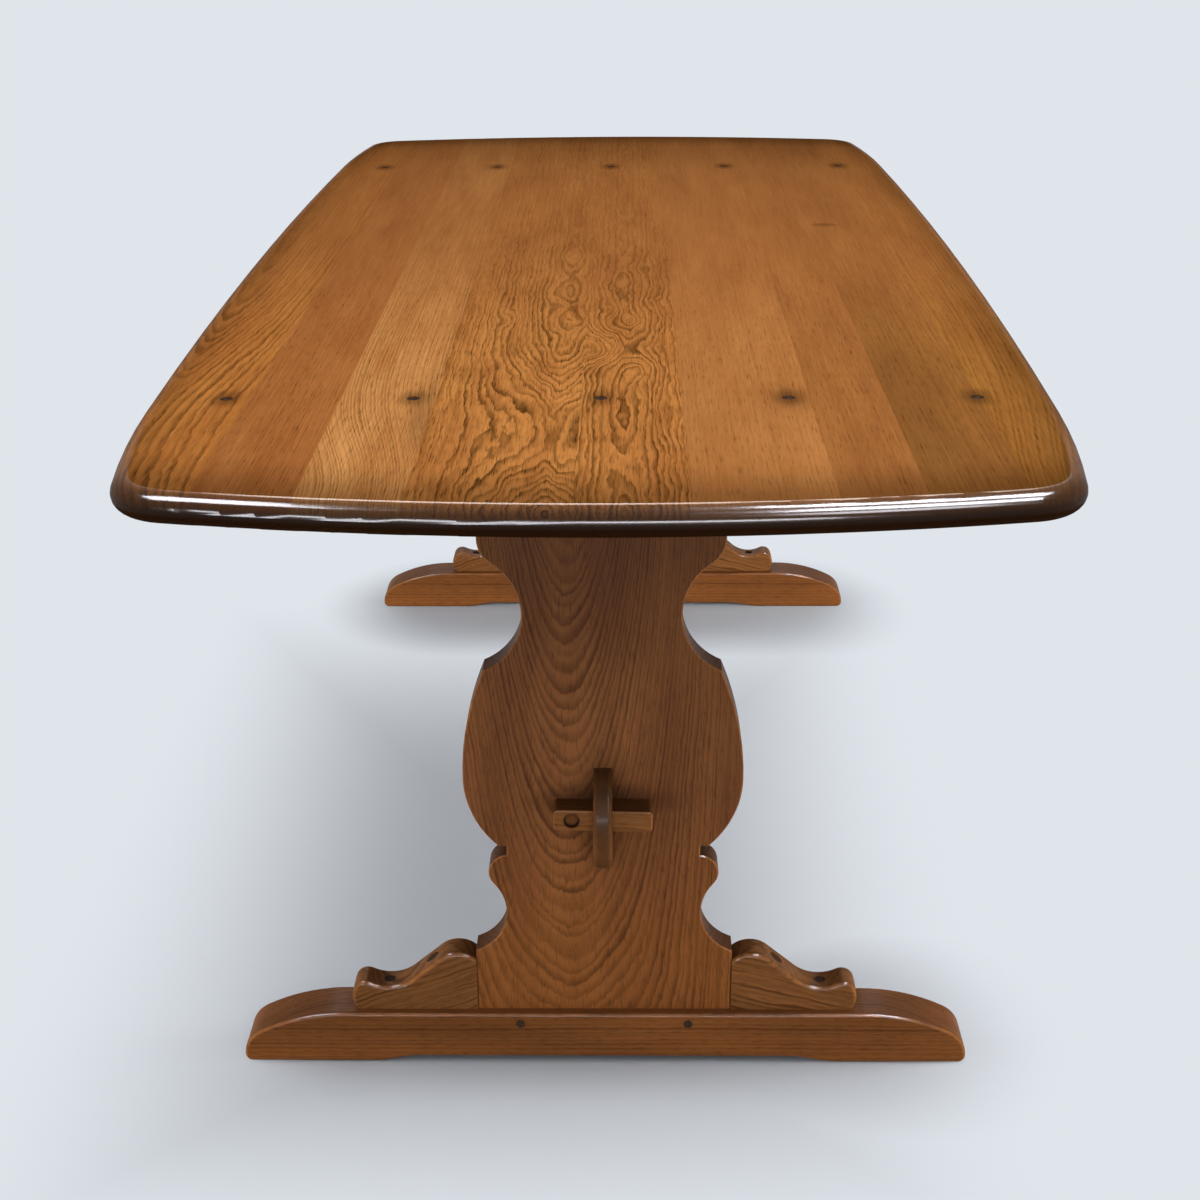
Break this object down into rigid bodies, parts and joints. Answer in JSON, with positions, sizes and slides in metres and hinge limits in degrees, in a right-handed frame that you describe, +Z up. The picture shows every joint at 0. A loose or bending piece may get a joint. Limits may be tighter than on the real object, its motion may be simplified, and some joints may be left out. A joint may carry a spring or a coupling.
{
  "type": "refectory table",
  "caption": "Long boat-shaped plank-topped dining table on two shaped slab trestles with sledge feet, tied by a stretcher whose through tongues are locked by sliding cross keys.",
  "frame": {"origin": "on the floor, under the middle of the table top", "axes": "+X across the table, +Y along its length away from the pictured end, +Z up"},
  "size_m": [0.8588, 1.84, 0.72],
  "materials": {
    "top_elm": "golden brown varnish",
    "frame_elm": "red-brown stain and varnish",
    "peg_wood": "dark stained end grain",
    "screw_steel": "plain steel"
  },
  "bodies": {
    "table": {"top_board_1": "top_elm", "top_board_2": "top_elm", "top_board_3": "top_elm", "top_board_4": "top_elm", "top_board_5": "top_elm", "top_board_6": "top_elm", "top_board_7": "top_elm", "top_board_8": "top_elm", "top_board_9": "top_elm", "near_slab_end": "frame_elm", "near_foot": "frame_elm", "near_bearer": "frame_elm", "near_left_bracket": "frame_elm", "near_right_bracket": "frame_elm", "far_slab_end": "frame_elm", "far_foot": "frame_elm", "far_bearer": "frame_elm", "far_left_bracket": "frame_elm", "far_right_bracket": "frame_elm", "stretcher": "frame_elm", "near_foot_pegs": "peg_wood", "near_bearer_pegs": "peg_wood", "near_bracket_plugs": "peg_wood", "near_top_plugs": "peg_wood", "near_bracket_screws": "screw_steel", "near_top_screws": "screw_steel", "far_foot_pegs": "peg_wood", "far_bearer_pegs": "peg_wood", "far_bracket_plugs": "peg_wood", "far_top_plugs": "peg_wood", "far_bracket_screws": "screw_steel", "far_top_screws": "screw_steel"},
    "near_wedge": {"near_key": "frame_elm", "near_key_peg": "peg_wood"},
    "far_wedge": {"far_key": "frame_elm", "far_key_peg": "peg_wood"}
  },
  "joints": [
    {"name": "near_key_slide", "type": "slide", "parent": "table", "child": "near_wedge", "axis": [1, 0, 0], "range_m": [0, 0.057]},
    {"name": "far_key_slide", "type": "slide", "parent": "table", "child": "far_wedge", "axis": [-1, 0, 0], "range_m": [0, 0.057]}
  ]
}
